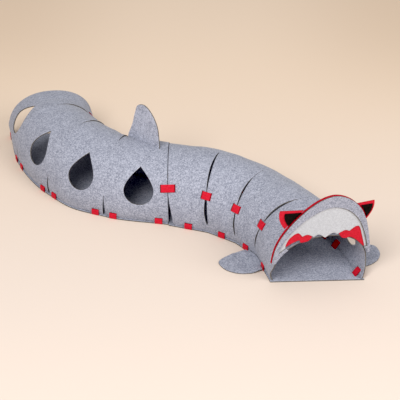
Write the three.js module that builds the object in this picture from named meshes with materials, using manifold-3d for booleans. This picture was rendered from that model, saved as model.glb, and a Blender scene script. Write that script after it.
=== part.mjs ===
import * as THREE from 'three';
import { mergeVertices } from 'three/addons/utils/BufferGeometryUtils.js';
import Module from 'manifold-3d';

// Cat tunnel of stiff felt in the shape of a shark: two like modules set end to end in an S.
// Each module is an arched wall on a flat floor. It bends to its right as it leaves the seam: its left
// side is the outer one, with peep holes, and its right side the inner one, with slits.
// Millimetres, +Z up, mouth towards -Y, the middle of the box at the origin.

// Felt thicknesses and the clearance between pieces
const WALL = 4;
const FLOOR = 4;
const FIN = 4;
const PLATE = 3;
const TRIM = 2;
const STRAP = 2;
const GAP = 0.3;
const CLEAR = 0.6;
const WELD = 1e-4;

// Arch and floor
const FOOT_TUCK = 9;
const FLOOR_MARGIN = 5;
const FLOOR_LIP = 3;
const WALL_FOOT = FLOOR + GAP;
const LEAN_HEIGHT = 200;
const TWIST_HEIGHT = 80;
const STEPS_A_PANEL = 4;
const STEPS_ROUND = 20;
const STRAIGHT_SIDE = { from: 0.35, to: 0.8, share: 0.8 };
const BOW_REACH = 0.3;
const ROUND_STEP = 0.002;
const FRAME_STEP = 0.02;

// Sections of a module from the seam outwards, measured from the middle of the seam: x and y of the
// floor's middle, direction of the tunnel at the foot and at the top, outward lean of the top at
// LEAN_HEIGHT, its sway to the left there, height, widest half width, squareness of the arch, where 2
// is round, and outward bow of the outer foot in the panel beyond.
const REAR_SECTIONS = [
  { x: -1, y: 0, foot: 179, top: 179, lean: 4, sway: 0, height: 203, half: 150, square: 2, bow: 0 },
  { x: -172, y: 44, foot: 163, top: 163, lean: -3, sway: 0, height: 206, half: 150, square: 2, bow: 10 },
  { x: -310.6, y: 155, foot: 139, top: 139, lean: -14, sway: 0, height: 214, half: 153, square: 2, bow: 0 },
  { x: -398, y: 303, foot: 115, top: 115, lean: -6, sway: 0, height: 207, half: 148, square: 2, bow: 0 },
  { x: -443, y: 464, foot: 88, top: 97, lean: -32, sway: -20, height: 192, half: 147, square: 2.2, bow: 0 },
];
const FRONT_SECTIONS = [
  { x: 1, y: -5, foot: 359, top: 359, lean: -4, sway: 0, height: 203, half: 150, square: 2, bow: 0 },
  { x: 165, y: -55, foot: 343, top: 343, lean: -16, sway: 0, height: 202, half: 149, square: 2, bow: 0 },
  { x: 292.8, y: -141.6, foot: 324, top: 324, lean: -17, sway: 0, height: 185, half: 145, square: 2, bow: 0 },
  { x: 395.7, y: -288.8, foot: 290, top: 290, lean: 16, sway: 0, height: 194, half: 137, square: 2, bow: 0 },
  { x: 453, y: -463, foot: 272, top: 283, lean: 32, sway: 7, height: 180, half: 147, square: 2.2, bow: 0 },
];
const PANELS = REAR_SECTIONS.length - 1;

// The seam's middle as seen from the middle of the whole object's box
const SEAM_PLACE = { x: -36.19, y: 35.85 };

// Peep holes, one a panel: how far along the panel, and where round the arch
const REAR_HOLES = [
  { along: 0.453, round: 0.195 },
  { along: 0.409, round: 0.211 },
  { along: 0.358, round: 0.222 },
  { along: 0.37, round: 0.245 },
];
const FRONT_HOLES = [
  { along: 0.45, round: 0.182 },
  { along: 0.44, round: 0.18 },
  { along: 0.43, round: 0.178 },
  { along: 0.42, round: 0.176 },
];
const HOLE_RADIUS = 49;
const HOLE_TIP = 90;
const HOLE_POINT = { across: 10, down: 20 };
const HOLE_SHOULDER = 25;
const HOLE_DEPTH = 60;
const HOLE_STEPS = 8;

// Slits on the inner side, notches in the outer foot and the trimmed corner at the seam
const SLIT_TOP = { rear: 0.5, front: 0.43 };
const SLIT_LOW = 0.955;
const SLIT_WIDTH = 5.5;
const BLADE_STEPS = 8;
const BLADE_REACH = 9;
const BLADE_TIP = 0.2;
const NOTCH_TOP = 0.14;
const NOTCH_WIDTH = 11;
const CORNER_TOP = 0.81;
const CORNER_WIDTH = 15;

// Straps
const STRAP_WIDTH = 25;
const STRAP_ROUND = 0.228;
const SLIT_STRAP_SPAN = 27;
const SLIT_STRAP_CLEAR = 0.9;
const SEAM_STRAP_SPAN = 41;
const SEAM_STRAP_CLEAR = 3.2;
const STRAP_FLAP = 10;
const SLOT_REACH = 12;
const FOOT_SLOT_HEIGHT = 22;
const FOOT_SLOT_IN = 14;
const FOOT_STRAP_INSET = 32;
const UNDERSIDE = 0.2;
const POCKET = 2.5;
const LOOP_CLEAR = 0.9;

// Dorsal fin: base line on the rear module, measured from the seam, and its outline above the floor
const DORSAL_FRONT = { x: -33, y: -4 };
const DORSAL_HEADING = 137;
const DORSAL_ROOT = { front: 190, rear: 178, length: 148 };
const DORSAL_SLOT = { low: 174, high: 214 };
const DORSAL_EDGE = [
  { along: 1, up: 225 },
  { along: 8, up: 275 },
  { along: 32, up: 313 },
  { along: 66, up: 335 },
  { along: 98, up: 326 },
  { along: 110, up: 296 },
  { along: 122, up: 252 },
  { along: 140, up: 212 },
];

// Pectoral fins: distance of the root's front end behind the mouth, and the outline from that end
const PECTORAL_SETBACK = 62;
const PECTORAL_ROOT = 138;
const PECTORAL_EDGE = [
  { along: 1, out: 44 },
  { along: 16, out: 82 },
  { along: 44, out: 107 },
  { along: 72, out: 115 },
  { along: 97, out: 113 },
  { along: 111, out: 94 },
  { along: 124, out: 54 },
];
const PECTORAL_CLEAR = 2.1;
const PECTORAL_LIFT = 4.8;
const PECTORAL_STEP = 8;
const PECTORAL_DOWN = 50;
const PECTORAL_THICK = 3;
const PECTORAL_ROOT_STEPS = 5;
const FIN_EDGE_STEPS = 3;

// Face: measured from the middle of the mouth on the plane of its rim, across and up
const FACE_LEAN = { aside: 21, from: 150, to: 340 };
const FACE_CENTRE = 96;
const FACE_SQUARE = 1.8;
const FACE_STEPS = 20;
const FACE_OUTER = { across: 152, up: 238 };
const BACKING_EDGE = 3;
const BACKING_ASIDE = -2.5;
const RIM_COVER = 1.5;
const LAYER = { backing: 0.5, patch: 2.8, gum: 2.8, white: 5.1, plate: 7.4 };

// White panel, its round edge tucked behind the face plate: each tooth's tip and the arch beyond it,
// then the shoulder and end of its leg
const WHITE_OUTER = { across: 140, up: 196 };
const WHITE_TUCK = 5;
const BACKING_BAND = 14;
const TEETH = [
  { tip: 0, low: 176, peak: 21, high: 191 },
  { tip: 36, low: 184, peak: 57, high: 196 },
  { tip: 72, low: 192, peak: 90, high: 211 },
];
const TEETH_ASIDE = 5;
const WHITE_SHOULDER = { across: 108, up: 194 };
const WHITE_END = {
  left: { across: 129, up: 122, angle: 0.075 },
  right: { across: 126, up: 143, angle: 0.28 },
};
const TOOTH_STEPS = 4;

// Gums: a large lobe and a small one, then the upper edge, tucked under the white panel
const GUM = [
  { across: 125, up: 134 },
  { across: 108, up: 154 },
  { across: 92, up: 167 },
  { across: 78, up: 176 },
  { across: 75, up: 168 },
  { across: 65, up: 166 },
  { across: 54, up: 169 },
  { across: 43, up: 180 },
  { across: 43, up: 192 },
  { across: 57, up: 202 },
  { across: 72, up: 198 },
  { across: 90, up: 217 },
  { across: 111, up: 199 },
  { across: 127, up: 150 },
];

// Eyes: inner corner, top corner, pull of the round outer side, and low corner
const EYE = [
  { across: 72, up: 289 },
  { across: 143, up: 296 },
  { across: 150, up: 262 },
  { across: 124, up: 225 },
];
const EYE_ASIDE = 3.5;
const PATCH = [
  { across: 70, up: 281 },
  { across: 133, up: 285 },
  { across: 137, up: 262 },
  { across: 119, up: 237 },
];
const PATCH_ASIDE = 8.5;
const PATCH_GAP = 3;
const EYE_STEPS = 4;

const felt = (color) => new THREE.MeshStandardMaterial({ color, roughness: 0.95, metalness: 0 });
const GREY = 0x9c9ea8;
const RED = 0xd8202e;
const WHITE = 0xdedbdc;
const BLACK = 0x1b1b1d;

const wasm = await Module();
wasm.setup();

const tunnel = new THREE.Group();
tunnel.position.set(SEAM_PLACE.x, SEAM_PLACE.y, 0);

const { clamp, lerp, smoothstep, degToRad } = THREE.MathUtils;
const UP = new THREE.Vector3(0, 0, 1);
const direction = (degrees) => new THREE.Vector3(1, 0, 0).applyAxisAngle(UP, degToRad(degrees));
const signedPower = (value, power) => Math.sign(value) * Math.abs(value) ** power;

// Solids

function toSolid(geometry) {
  const bare = geometry.clone();
  bare.deleteAttribute('normal');
  bare.deleteAttribute('uv');
  const merged = mergeVertices(bare, WELD);
  return new wasm.Manifold(new wasm.Mesh({
    numProp: 3,
    vertProperties: new Float32Array(merged.attributes.position.array),
    triVerts: new Uint32Array(merged.index.array),
  }));
}

function toGeometry(solid) {
  const mesh = solid.getMesh();
  const geometry = new THREE.BufferGeometry();
  geometry.setAttribute('position', new THREE.BufferAttribute(mesh.vertProperties, 3));
  geometry.setIndex(new THREE.BufferAttribute(mesh.triVerts, 1));
  geometry.computeVertexNormals();
  return geometry;
}

const cut = (solid, cutters) => cutters.reduce((rest, cutter) => rest.subtract(toSolid(cutter)), solid);

function addPiece(group, name, geometry, color) {
  const mesh = new THREE.Mesh(geometry, felt(color));
  mesh.name = name;
  group.add(mesh);
}

function extrude(shape, depth, curveSegments) {
  return new THREE.ExtrudeGeometry(shape, { depth, bevelEnabled: false, curveSegments });
}

const polygon = (points) => new THREE.Shape(points.map(([x, y]) => new THREE.Vector2(x, y)));

// A prism of a shape, centred on its own plane
function prism(shape, depth, frame, curveSegments) {
  return extrude(shape, depth, curveSegments).translate(0, 0, -depth / 2).applyMatrix4(frame);
}

// Place a frame by its origin, its x axis and a direction near its y axis
function frameOf(origin, xAxis, nearY) {
  const x = xAxis.clone().normalize();
  const z = new THREE.Vector3().crossVectors(x, nearY).normalize();
  const y = new THREE.Vector3().crossVectors(z, x);
  return new THREE.Matrix4().makeBasis(x, y, z).setPosition(origin);
}

// The arched wall

// A point of one section: round runs from the outer foot, 0, over the top to the inner foot, 1
function sectionPoint(section, round, inset) {
  const half = section.half - inset;
  const rise = section.height - WALL_FOOT - inset;
  const power = 2 / section.square;
  const footCos = (1 - FOOT_TUCK / half) ** (1 / power);
  const footAngle = Math.acos(footCos);
  const drop = Math.sin(footAngle) ** power;
  const centre = rise * drop / (1 + drop);
  const angle = lerp(-footAngle, Math.PI + footAngle, round);
  const side = half * signedPower(Math.cos(angle), power);
  const height = centre + (rise - centre) * signedPower(Math.sin(angle), power);
  const twist = smoothstep(height, 0, TWIST_HEIGHT);
  const left = direction(lerp(section.foot, section.top, twist) + 90);
  const outward = direction(section.top);
  const risen = height / LEAN_HEIGHT * twist;
  return new THREE.Vector3(section.x, section.y, WALL_FOOT + height)
    .addScaledVector(left, side + section.sway * risen)
    .addScaledVector(outward, section.lean * risen);
}

// Rows of points over a module's wall: smooth along the outer side, nearly straight panels on the inner
function wallGrid(sections, inset) {
  const columns = [];
  for (let j = 0; j <= STEPS_ROUND; j += 1) {
    const round = j / STEPS_ROUND;
    const knots = sections.map((section) => sectionPoint(section, round, inset));
    const curve = new THREE.CatmullRomCurve3(knots, false, 'catmullrom', 0.5);
    const straightness = STRAIGHT_SIDE.share * smoothstep(round, STRAIGHT_SIDE.from, STRAIGHT_SIDE.to);
    const lowness = 1 - smoothstep(round, 0, BOW_REACH);
    const column = [];
    for (let i = 0; i <= PANELS * STEPS_A_PANEL; i += 1) {
      const panel = Math.min(Math.floor(i / STEPS_A_PANEL), PANELS - 1);
      const part = i / STEPS_A_PANEL - panel;
      const straight = knots[panel].clone().lerp(knots[panel + 1], part);
      const chord = knots[panel + 1].clone().sub(knots[panel]);
      const aside = new THREE.Vector3(-chord.y, chord.x, 0).normalize();
      const bow = sections[panel].bow * lowness * Math.sin(Math.PI * part) ** 2;
      const point = curve.getPoint(i / (PANELS * STEPS_A_PANEL)).lerp(straight, straightness);
      column.push(point.addScaledVector(aside, bow));
    }
    columns.push(column);
  }
  return columns;
}

function wallGeometry(outer, inner) {
  const rows = outer[0].length;
  const positions = [...outer, ...inner].flat().flatMap((point) => point.toArray());
  const index = [];
  const outerAt = (i, j) => j * rows + i;
  const innerAt = (i, j) => (outer.length + j) * rows + i;
  const quad = (a, b, c, d) => index.push(a, b, c, a, c, d);
  const lastRow = rows - 1;
  const lastColumn = outer.length - 1;
  for (let j = 0; j < lastColumn; j += 1) {
    for (let i = 0; i < lastRow; i += 1) {
      quad(outerAt(i, j), outerAt(i, j + 1), outerAt(i + 1, j + 1), outerAt(i + 1, j));
      quad(innerAt(i, j), innerAt(i + 1, j), innerAt(i + 1, j + 1), innerAt(i, j + 1));
    }
    quad(outerAt(0, j), innerAt(0, j), innerAt(0, j + 1), outerAt(0, j + 1));
    quad(outerAt(lastRow, j), outerAt(lastRow, j + 1), innerAt(lastRow, j + 1), innerAt(lastRow, j));
  }
  for (let i = 0; i < lastRow; i += 1) {
    quad(outerAt(i, 0), outerAt(i + 1, 0), innerAt(i + 1, 0), innerAt(i, 0));
    const far = [innerAt(i, lastColumn), innerAt(i + 1, lastColumn)];
    quad(outerAt(i, lastColumn), ...far, outerAt(i + 1, lastColumn));
  }
  const geometry = new THREE.BufferGeometry();
  geometry.setAttribute('position', new THREE.Float32BufferAttribute(positions, 3));
  geometry.setIndex(index);
  return geometry;
}

// A point on the faceted wall: along counts panels from the seam
function onWall(grid, along, round) {
  const i = clamp(along * STEPS_A_PANEL, 0, PANELS * STEPS_A_PANEL);
  const j = clamp(round * STEPS_ROUND, 0, STEPS_ROUND);
  const row = Math.min(Math.floor(i), PANELS * STEPS_A_PANEL - 1);
  const column = Math.min(Math.floor(j), STEPS_ROUND - 1);
  const low = grid[column][row].clone().lerp(grid[column][row + 1], i - row);
  const high = grid[column + 1][row].clone().lerp(grid[column + 1][row + 1], i - row);
  return low.lerp(high, j - column);
}

// Outward, up and lengthways directions of the wall at a point
function wallFrame(grid, along, round) {
  const point = onWall(grid, along, round);
  const next = onWall(grid, along + FRAME_STEP, round);
  const forward = next.sub(onWall(grid, along - FRAME_STEP, round)).normalize();
  const above = onWall(grid, along, round + FRAME_STEP);
  const over = above.sub(onWall(grid, along, round - FRAME_STEP)).normalize();
  const normal = new THREE.Vector3().crossVectors(over, forward).normalize();
  return { point, forward, normal, up: round < 0.5 ? over : over.negate() };
}

// Openings in the wall

function teardropShape() {
  const shape = new THREE.Shape();
  shape.moveTo(0, HOLE_TIP);
  const { across, down } = HOLE_POINT;
  shape.bezierCurveTo(across, HOLE_TIP - down, HOLE_RADIUS, HOLE_SHOULDER, HOLE_RADIUS, 0);
  shape.absarc(0, 0, HOLE_RADIUS, 0, -Math.PI, true);
  shape.bezierCurveTo(-HOLE_RADIUS, HOLE_SHOULDER, -across, HOLE_TIP - down, 0, HOLE_TIP);
  return shape;
}

function holeCutter(grid, along, round) {
  const { point, normal, up } = wallFrame(grid, along, round);
  const across = new THREE.Vector3().crossVectors(up, normal);
  return prism(teardropShape(), HOLE_DEPTH, frameOf(point, across, up), HOLE_STEPS);
}

// A blade along a section line, wide where the gap is: it cuts slits, notches and trimmed corners
function gapCutter(grid, along, fromRound, toRound, widthAt) {
  const positions = [];
  const index = [];
  for (let k = 0; k <= BLADE_STEPS; k += 1) {
    const part = k / BLADE_STEPS;
    const { point, forward, normal } = wallFrame(grid, along, lerp(fromRound, toRound, part));
    const half = Math.max(widthAt(part), BLADE_TIP) / 2;
    for (const [side, depth] of [[-1, -1], [1, -1], [1, 1], [-1, 1]]) {
      const corner = point.clone().addScaledVector(forward, side * half);
      positions.push(...corner.addScaledVector(normal, depth * BLADE_REACH - WALL / 2).toArray());
    }
  }
  for (let k = 0; k < BLADE_STEPS; k += 1) {
    for (let c = 0; c < 4; c += 1) {
      const [a, b] = [4 * k + c, 4 * k + (c + 1) % 4];
      index.push(a, b, b + 4, a, b + 4, a + 4);
    }
  }
  const end = 4 * BLADE_STEPS;
  index.push(0, 2, 1, 0, 3, 2, end, end + 1, end + 2, end, end + 2, end + 3);
  const geometry = new THREE.BufferGeometry();
  geometry.setAttribute('position', new THREE.Float32BufferAttribute(positions, 3));
  geometry.setIndex(index);
  return geometry;
}

const slitCutter = (grid, along, top) =>
  gapCutter(grid, along, top, SLIT_LOW, (part) => SLIT_WIDTH * Math.sin(Math.PI * part) ** 0.5);
const notchCutter = (grid, along) =>
  gapCutter(grid, along, 0, NOTCH_TOP, (part) => NOTCH_WIDTH * (1 - part));
const cornerCutter = (grid) =>
  gapCutter(grid, 0, CORNER_TOP, 1, (part) => 2 * CORNER_WIDTH * part);

// Straps

// A strap over two slots: its ends pass inside the wall and turn away from each other
function bridgeStrap(from, to, clear) {
  const along = to.point.clone().sub(from.point);
  const span = along.length();
  const outward = from.normal.clone().add(to.normal);
  const frame = frameOf(from.point, along, outward);
  const half = STRAP / 2;
  const inside = -WALL - clear;
  const strap = polygon([
    [-half, clear + STRAP], [-half, inside], [-half - STRAP_FLAP, inside],
    [-half - STRAP_FLAP, inside - STRAP], [half, inside - STRAP], [half, clear],
    [span - half, clear], [span - half, inside - STRAP], [span + half + STRAP_FLAP, inside - STRAP],
    [span + half + STRAP_FLAP, inside], [span + half, inside], [span + half, clear + STRAP],
  ]);
  const slot = (x) => prism(polygon([
    [x - half - CLEAR, -SLOT_REACH], [x + half + CLEAR, -SLOT_REACH],
    [x + half + CLEAR, SLOT_REACH], [x - half - CLEAR, SLOT_REACH],
  ]), STRAP_WIDTH + 2 * CLEAR, frame);
  return { geometry: prism(strap, STRAP_WIDTH, frame), slots: [slot(0), slot(span)] };
}

// Height round the arch, from a foot, at which the wall reaches the foot slots
function footSlotRound(grid, along, foot) {
  const inward = foot === 0 ? 1 : -1;
  let round = foot;
  while (onWall(grid, along, round).z < FOOT_SLOT_HEIGHT) {
    round += inward * ROUND_STEP;
  }
  return round;
}

// A closed loop through a slot in the wall's foot, round the floor's edge and through the floor
function footLoop(grid, along, foot) {
  const { point, forward } = wallFrame(grid, along, foot);
  const lengthways = new THREE.Vector3(forward.x, forward.y, 0).normalize();
  const outward = new THREE.Vector3().crossVectors(UP, lengthways).multiplyScalar(foot === 0 ? 1 : -1);
  const origin = new THREE.Vector3(point.x, point.y, 0);
  const frame = frameOf(origin, outward, UP);
  const slotPoint = onWall(grid, along, footSlotRound(grid, along, foot));
  const bulge = slotPoint.sub(origin).dot(outward);
  const top = FOOT_SLOT_HEIGHT - STRAP / 2;
  const base = UNDERSIDE + STRAP;
  const inTop = bulge - WALL - LOOP_CLEAR - CLEAR;
  const outTop = bulge + LOOP_CLEAR;
  const inLow = -WALL - LOOP_CLEAR - FOOT_SLOT_IN;
  const outLow = FLOOR_MARGIN + CLEAR;
  const loop = polygon([
    [inTop - STRAP, top + STRAP], [inLow - STRAP, UNDERSIDE],
    [outLow + STRAP, UNDERSIDE], [outTop + STRAP, top + STRAP],
  ]);
  loop.holes.push(polygon([[inTop, top], [outTop, top], [outLow, base], [inLow, base]]));
  const wallSlot = polygon([
    [bulge - SLOT_REACH, top - CLEAR], [bulge + SLOT_REACH, top - CLEAR],
    [bulge + SLOT_REACH, top + STRAP + CLEAR], [bulge - SLOT_REACH, top + STRAP + CLEAR],
  ]);
  const slotIn = inLow - STRAP - CLEAR;
  const slotOut = inLow + STRAP + CLEAR;
  const floorSlot = polygon([
    [slotIn, -FLOOR], [outLow + FLOOR, -FLOOR], [outLow + FLOOR, POCKET],
    [slotOut, POCKET], [slotOut, 2 * FLOOR], [slotIn, 2 * FLOOR],
  ]);
  const finNotch = polygon([
    [-FLOOR_MARGIN, -FLOOR], [outTop + STRAP + 2 * CLEAR, -FLOOR],
    [outTop + STRAP + 2 * CLEAR, FOOT_SLOT_HEIGHT], [-FLOOR_MARGIN, FOOT_SLOT_HEIGHT],
  ]);
  const width = STRAP_WIDTH + 2 * CLEAR;
  return {
    geometry: prism(loop, STRAP_WIDTH, frame),
    wallSlot: prism(wallSlot, width, frame),
    floorSlot: prism(floorSlot, width, frame),
    finNotch: prism(finNotch, width, frame),
  };
}

// One module: wall, floor and straps

function panelLength(grid, panel, round) {
  return onWall(grid, panel, round).distanceTo(onWall(grid, panel + 1, round));
}

// Panel counts along the foot at which loops stand: two a panel outside, one a panel inside
function footPlaces(grid) {
  const places = [];
  for (let panel = 0; panel < PANELS; panel += 1) {
    const inset = FOOT_STRAP_INSET / panelLength(grid, panel, 0);
    places.push({ along: panel + inset, foot: 0 }, { along: panel + 1 - inset, foot: 0 });
    places.push({ along: panel + 0.5, foot: 1 });
  }
  return places;
}

function floorGeometry(grid) {
  const edge = (foot) => {
    const points = [];
    const last = PANELS * STEPS_A_PANEL;
    for (let i = 0; i <= last; i += 1) {
      const { point, forward } = wallFrame(grid, i / STEPS_A_PANEL, foot);
      const lengthways = new THREE.Vector2(forward.x, forward.y).normalize();
      const outward = new THREE.Vector2(-lengthways.y, lengthways.x).multiplyScalar(foot === 0 ? 1 : -1);
      const corner = new THREE.Vector2(point.x, point.y).addScaledVector(outward, FLOOR_MARGIN);
      points.push(corner.addScaledVector(lengthways, i === last ? FLOOR_LIP : 0));
    }
    return points;
  };
  const outline = new THREE.Shape([...edge(0), ...edge(1).reverse()]);
  return extrude(outline, FLOOR);
}

const modules = [
  { name: 'rear', sections: REAR_SECTIONS, holes: REAR_HOLES },
  { name: 'front', sections: FRONT_SECTIONS, holes: FRONT_HOLES },
].map(({ name, sections, holes }) => {
  const outer = wallGrid(sections, 0);
  const inner = wallGrid(sections, WALL);
  const seams = [1, 2, 3];
  const slitStraps = seams.map((along) => {
    const half = SLIT_STRAP_SPAN / 2;
    const before = half / panelLength(outer, along - 1, 1 - STRAP_ROUND);
    const after = half / panelLength(outer, along, 1 - STRAP_ROUND);
    return bridgeStrap(
      wallFrame(outer, along - before, 1 - STRAP_ROUND),
      wallFrame(outer, along + after, 1 - STRAP_ROUND),
      SLIT_STRAP_CLEAR,
    );
  });
  const loops = footPlaces(outer).map(({ along, foot }) => ({ foot, ...footLoop(outer, along, foot) }));
  const wallCutters = [
    ...holes.map(({ along, round }, panel) => holeCutter(outer, panel + along, round)),
    ...seams.map((along) => slitCutter(outer, along, SLIT_TOP[name])),
    ...seams.map((along) => notchCutter(outer, along)),
    cornerCutter(outer),
    ...slitStraps.flatMap((strap) => strap.slots),
    ...loops.map((loop) => loop.wallSlot),
  ];
  return { name, outer, inner, slitStraps, loops, wallCutters };
});
const [rear, front] = modules;

// Straps over the seam: the rear module's outer side faces the front one's inner side, and back
const seamStraps = [
  { name: 'seam_strap_near', rearRound: STRAP_ROUND },
  { name: 'seam_strap_far', rearRound: 1 - STRAP_ROUND },
].map(({ name, rearRound }) => {
  const half = SEAM_STRAP_SPAN / 2;
  const rearPlace = wallFrame(rear.outer, half / panelLength(rear.outer, 0, rearRound), rearRound);
  const frontRound = 1 - rearRound;
  const frontPlace = wallFrame(front.outer, half / panelLength(front.outer, 0, frontRound), frontRound);
  const { geometry, slots } = bridgeStrap(rearPlace, frontPlace, SEAM_STRAP_CLEAR);
  rear.wallCutters.push(slots[0]);
  front.wallCutters.push(slots[1]);
  return { name, geometry };
});

// Dorsal fin, standing in a slot in the top of the rear wall

function dorsalGeometry() {
  const shape = new THREE.Shape();
  shape.moveTo(0, DORSAL_ROOT.front);
  shape.splineThru(DORSAL_EDGE.map(({ along, up }) => new THREE.Vector2(along, up)));
  shape.lineTo(DORSAL_ROOT.length, DORSAL_ROOT.rear + WALL);
  shape.lineTo(DORSAL_ROOT.length, DORSAL_ROOT.rear);
  const origin = new THREE.Vector3(DORSAL_FRONT.x, DORSAL_FRONT.y, 0);
  const frame = frameOf(origin, direction(DORSAL_HEADING), UP);
  const slot = polygon([
    [-CLEAR, DORSAL_SLOT.low], [DORSAL_ROOT.length + CLEAR, DORSAL_SLOT.low],
    [DORSAL_ROOT.length + CLEAR, DORSAL_SLOT.high], [-CLEAR, DORSAL_SLOT.high],
  ]);
  return {
    geometry: prism(shape, FIN, frame, FIN_EDGE_STEPS),
    slot: prism(slot, FIN + 2 * CLEAR, frame),
  };
}

const dorsal = dorsalGeometry();
rear.wallCutters.push(dorsal.slot);

for (const { name, outer, inner, slitStraps, loops, wallCutters } of modules) {
  const wall = cut(toSolid(wallGeometry(outer, inner)), wallCutters);
  addPiece(tunnel, `wall_${name}`, toGeometry(wall), GREY);
  const floor = cut(toSolid(floorGeometry(outer)), loops.map((loop) => loop.floorSlot));
  addPiece(tunnel, `floor_${name}`, toGeometry(floor), GREY);
  slitStraps.forEach((strap, k) => addPiece(tunnel, `slit_strap_${name}_${k + 1}`, strap.geometry, RED));
  loops.forEach((loop, k) => addPiece(tunnel, `floor_strap_${name}_${k + 1}`, loop.geometry, RED));
}
seamStraps.forEach(({ name, geometry }) => addPiece(tunnel, name, geometry, RED));
addPiece(tunnel, 'dorsal_fin', dorsal.geometry, GREY);

// Pectoral fins: the root lies along the wall's foot over the floor's margin, the rest on the ground

function pectoralGeometry(foot) {
  const lastPanel = panelLength(front.outer, PANELS - 1, foot);
  const from = PANELS - PECTORAL_SETBACK / lastPanel;
  const to = from - PECTORAL_ROOT / lastPanel;
  const footPoint = (along) => onWall(front.outer, along, foot).setZ(0);
  const origin = footPoint(from);
  const backward = footPoint(to).sub(origin).normalize();
  const mirror = foot === 1 ? 1 : -1;
  const lengthways = backward.clone().multiplyScalar(mirror);
  const outward = new THREE.Vector3().crossVectors(UP, lengthways);
  const root = [];
  for (let k = 0; k <= PECTORAL_ROOT_STEPS; k += 1) {
    const offset = footPoint(lerp(from, to, k / PECTORAL_ROOT_STEPS)).sub(origin);
    root.push(new THREE.Vector2(offset.dot(lengthways), offset.dot(outward) + PECTORAL_CLEAR));
  }
  const shape = new THREE.Shape();
  const tail = root[PECTORAL_ROOT_STEPS];
  shape.moveTo(root[0].x, root[0].y);
  shape.lineTo(root[0].x, root[0].y + PECTORAL_STEP);
  shape.splineThru(PECTORAL_EDGE.map(({ along, out }) => new THREE.Vector2(mirror * along, out)));
  shape.lineTo(tail.x, tail.y + PECTORAL_STEP);
  root.slice(1).reverse().forEach((point) => shape.lineTo(point.x, point.y));
  const geometry = extrude(shape, PECTORAL_THICK, FIN_EDGE_STEPS);
  const positions = geometry.attributes.position;
  for (let k = 0; k < positions.count; k += 1) {
    const sunk = smoothstep(positions.getY(k), 2 * PECTORAL_STEP, PECTORAL_DOWN);
    positions.setZ(k, positions.getZ(k) + PECTORAL_LIFT * (1 - sunk));
  }
  return geometry.applyMatrix4(new THREE.Matrix4().makeBasis(lengthways, outward, UP).setPosition(origin));
}

for (const [foot, name] of ['pectoral_fin_right', 'pectoral_fin_left'].entries()) {
  const notches = front.loops.filter((loop) => loop.foot === foot).map((loop) => loop.finNotch);
  addPiece(tunnel, name, toGeometry(cut(toSolid(pectoralGeometry(foot)), notches)), GREY);
}

// Face: flat felt layers on the plane of the mouth's rim

const mouth = FRONT_SECTIONS[PANELS];
const faceAcross = direction(mouth.top + 90);
const faceUp = UP.clone().addScaledVector(direction(mouth.top), mouth.lean / LEAN_HEIGHT);
const rimStretch = faceUp.length();
const face = new THREE.Group();
face.applyMatrix4(frameOf(new THREE.Vector3(mouth.x, mouth.y, WALL_FOOT), faceAcross, faceUp));
tunnel.add(face);

// The face leans a little to the outer side towards its top
const facePoint = (across, up) =>
  new THREE.Vector2(across + FACE_LEAN.aside * smoothstep(up, FACE_LEAN.from, FACE_LEAN.to), up);

function faceArc(size, grow, aside, fromAngle, toAngle) {
  const points = [];
  for (let k = 0; k <= FACE_STEPS; k += 1) {
    const angle = lerp(fromAngle, toAngle, k / FACE_STEPS);
    const across = (size.across + grow) * signedPower(Math.cos(angle), 2 / FACE_SQUARE);
    const up = FACE_CENTRE + (size.up + grow) * signedPower(Math.sin(angle), 2 / FACE_SQUARE);
    points.push(facePoint(across + aside, up));
  }
  return points;
}

// The mouth's rim on the face's plane, between two places round the arch
function rimArc(inset, fromRound, toRound) {
  const points = [];
  const origin = new THREE.Vector3(mouth.x, mouth.y, WALL_FOOT);
  for (let k = 0; k <= FACE_STEPS; k += 1) {
    const offset = sectionPoint(mouth, lerp(fromRound, toRound, k / FACE_STEPS), inset).sub(origin);
    points.push(new THREE.Vector2(offset.dot(faceAcross), offset.z * rimStretch));
  }
  return points;
}

const rimRoundAt = (up) => {
  let round = 0;
  while (sectionPoint(mouth, round, 0).z - WALL_FOOT < up / rimStretch) {
    round += ROUND_STEP;
  }
  return round;
};

function crescent(grow, aside) {
  const legRound = rimRoundAt(FACE_CENTRE);
  const rim = rimArc(RIM_COVER, 1 - legRound, legRound);
  return new THREE.Shape([...faceArc(FACE_OUTER, grow, aside, 0, Math.PI), ...rim]);
}

function eyeShape(corners, side, aside) {
  const place = ({ across, up }) => new THREE.Vector2(side * across + aside, up);
  const [inner, top, pull, low] = corners.map(place);
  const shape = new THREE.Shape();
  shape.moveTo(inner.x, inner.y);
  shape.lineTo(top.x, top.y);
  shape.quadraticCurveTo(pull.x, pull.y, low.x, low.y);
  return shape;
}

// The edge of the face plate's window, over the white panel
const windowArc = (grow) =>
  faceArc(WHITE_OUTER, grow, 0, WHITE_END.right.angle, Math.PI - WHITE_END.left.angle);

// One half of the white panel's lower edge, from its middle outwards
function toothLine(side, end) {
  const place = ({ across, up }) => new THREE.Vector2(across, up);
  return TEETH.flatMap((tooth, k) => {
    const next = TEETH[k + 1];
    const ends = next ? [{ across: next.tip, up: next.low }] : [WHITE_SHOULDER, end];
    const through = [{ across: tooth.tip, up: tooth.low }, { across: tooth.peak, up: tooth.high }, ...ends];
    const line = new THREE.SplineCurve(through.map(place)).getPoints(TOOTH_STEPS * ends.length).slice(1);
    return line.map((point) => facePoint(TEETH_ASIDE + side * point.x, point.y));
  });
}

// White panel: a round upper edge, and a lower edge of arches between the teeth
function teethShape() {
  const { left, right } = WHITE_END;
  const lower = [
    ...toothLine(-1, left).reverse(),
    facePoint(TEETH_ASIDE + TEETH[0].tip, TEETH[0].low),
    ...toothLine(1, right),
  ];
  return new THREE.Shape([...lower, ...windowArc(WHITE_TUCK)]);
}

const gumShape = (side) =>
  new THREE.Shape(GUM.map(({ across, up }) => facePoint(TEETH_ASIDE + side * across, up)));

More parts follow.
